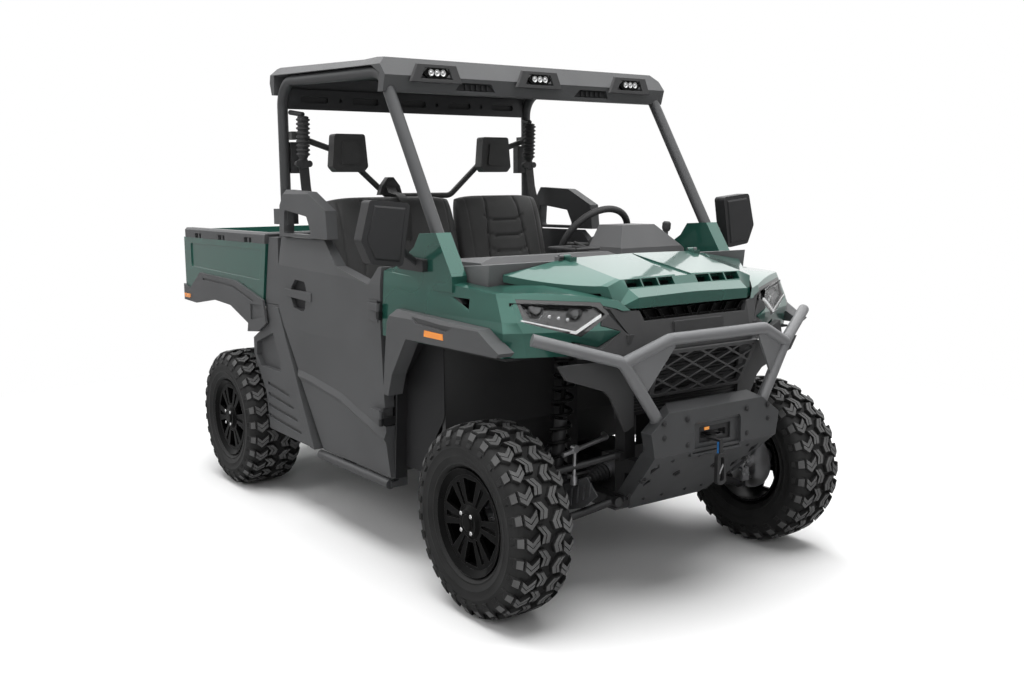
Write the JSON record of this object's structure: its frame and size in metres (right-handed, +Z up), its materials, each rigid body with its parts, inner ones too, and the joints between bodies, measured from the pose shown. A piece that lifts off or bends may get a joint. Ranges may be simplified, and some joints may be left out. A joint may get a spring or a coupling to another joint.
{
  "type": "side by side utility vehicle",
  "caption": "Two-seat side by side utility vehicle with half doors, roll cage and roof, bull bar, steerable front wheels, hinged hood and a tipping cargo bed with a tailgate.",
  "frame": {"origin": "on the ground at the middle of the vehicle's length and width", "axes": "+X forward, +Y to the vehicle's left, +Z up"},
  "size_m": [3.31, 2.006, 2.045],
  "materials": {
    "green_paint": "metallic green gloss",
    "dark_plastic": "moulded, fine grain",
    "black_plastic": "moulded, matt",
    "frame_steel": "satin powder coat",
    "black_steel": "satin powder coat",
    "engine_alloy": "cast",
    "bright_steel": "machined",
    "tyre_rubber": "moulded rubber",
    "rim_black": "gloss black",
    "seat_fabric": "grained vinyl",
    "lamp_lens": "clear lens",
    "tail_lens": "red lens"
  },
  "bodies": {
    "root": {"rear_uprights": "bright_steel", "suspension_arms": "black_steel", "shock_absorbers": "black_steel", "drive_shafts": "bright_steel", "front_differential": "engine_alloy", "chassis_frame": "black_steel", "skid_plate": "black_plastic", "engine_block": "engine_alloy", "exhaust": "bright_steel", "hitch_receiver": "black_steel", "floor_pan": "black_plastic", "seat_base": "black_plastic", "seat_cushions": "seat_fabric", "seat_backs": "seat_fabric", "headrests": "black_plastic", "dashboard": "black_plastic", "steering_column": "black_plastic", "roll_cage_left": "frame_steel", "roll_cage_right": "frame_steel", "roll_cage_cross": "frame_steel", "roof": "dark_plastic", "roof_lamps": "lamp_lens", "front_fenders": "green_paint", "headlights": "lamp_lens", "front_fascia": "black_plastic", "upper_grille": "black_plastic", "lower_grille": "black_plastic", "wheel_liners": "black_plastic", "bull_bar": "frame_steel", "bumper_plate": "frame_steel", "winch": "black_steel", "shoulder_guards": "dark_plastic", "side_panels": "dark_plastic", "rocker_rails": "frame_steel", "mirrors": "black_plastic", "seat_belts": "black_plastic", "fender_flares": "dark_plastic"},
    "wheel_front_left": {"tyre_front_left": "tyre_rubber", "rim_front_left": "rim_black"},
    "wheel_front_right": {"tyre_front_right": "tyre_rubber", "rim_front_right": "rim_black"},
    "wheel_rear_left": {"tyre_rear_left": "tyre_rubber", "rim_rear_left": "rim_black"},
    "wheel_rear_right": {"tyre_rear_right": "tyre_rubber", "rim_rear_right": "rim_black"},
    "knuckle_left": {"knuckle_left": "bright_steel"},
    "knuckle_right": {"knuckle_right": "bright_steel"},
    "steering_rack": {"steering_rack": "bright_steel"},
    "steering_wheel": {"steering_wheel": "black_plastic"},
    "door_left": {"door_left": "dark_plastic"},
    "door_right": {"door_right": "dark_plastic"},
    "hood": {"hood": "green_paint"},
    "cargo_bed": {"cargo_bed": "green_paint", "bed_rails": "black_plastic", "tail_lamps": "tail_lens", "bed_skirts": "dark_plastic"},
    "tailgate": {"tailgate": "green_paint"}
  },
  "joints": [
    {"name": "steer_left", "type": "hinge", "parent": "root", "child": "knuckle_left", "pos_m": [1.205, 0.59, 0.343], "axis": [0, 0, 1], "range_deg": [-30, 30]},
    {"name": "steer_right", "type": "hinge", "parent": "root", "child": "knuckle_right", "pos_m": [1.205, -0.59, 0.343], "axis": [0, 0, 1], "range_deg": [-30, 30]},
    {"name": "rack_slide", "type": "slide", "parent": "root", "child": "steering_rack", "axis": [0, 1, 0], "range_m": [-0.058, 0.058]},
    {"name": "steering_turn", "type": "hinge", "parent": "root", "child": "steering_wheel", "pos_m": [0.538, 0.35, 1.239], "axis": [-0.8387, 0, 0.5446], "range_deg": [-270.5, 270.5]},
    {"name": "roll_front_left", "type": "hinge", "parent": "knuckle_left", "child": "wheel_front_left", "pos_m": [1.205, 0.7, 0.343], "axis": [0, 1, 0], "continuous": true},
    {"name": "roll_front_right", "type": "hinge", "parent": "knuckle_right", "child": "wheel_front_right", "pos_m": [1.205, -0.7, 0.343], "axis": [0, 1, 0], "continuous": true},
    {"name": "roll_rear_left", "type": "hinge", "parent": "root", "child": "wheel_rear_left", "pos_m": [-0.955, 0.7, 0.343], "axis": [0, 1, 0], "continuous": true},
    {"name": "roll_rear_right", "type": "hinge", "parent": "root", "child": "wheel_rear_right", "pos_m": [-0.955, -0.7, 0.343], "axis": [0, 1, 0], "continuous": true},
    {"name": "door_left_swing", "type": "hinge", "parent": "root", "child": "door_left", "pos_m": [0.545, 0.757, 0.7], "axis": [0, 0, -1], "range_deg": [0, 68]},
    {"name": "door_right_swing", "type": "hinge", "parent": "root", "child": "door_right", "pos_m": [0.545, -0.757, 0.7], "axis": [0, 0, 1], "range_deg": [0, 68]},
    {"name": "hood_lift", "type": "hinge", "parent": "root", "child": "hood", "pos_m": [1.155, 0, 1.236], "axis": [0, -1, 0], "range_deg": [0, 50]},
    {"name": "bed_tip", "type": "hinge", "parent": "root", "child": "cargo_bed", "pos_m": [-1.5, 0, 0.88], "axis": [0, -1, 0], "range_deg": [0, 38]},
    {"name": "tailgate_drop", "type": "hinge", "parent": "cargo_bed", "child": "tailgate", "pos_m": [-1.621, 0, 0.922], "axis": [0, -1, 0], "range_deg": [0, 88]}
  ],
  "couplings": [
    {"joint": "steer_right", "follows": "steer_left", "ratio": 1},
    {"joint": "rack_slide", "follows": "steer_left", "m_per_rad": -0.11},
    {"joint": "steering_turn", "follows": "steer_left", "ratio": 9}
  ]
}
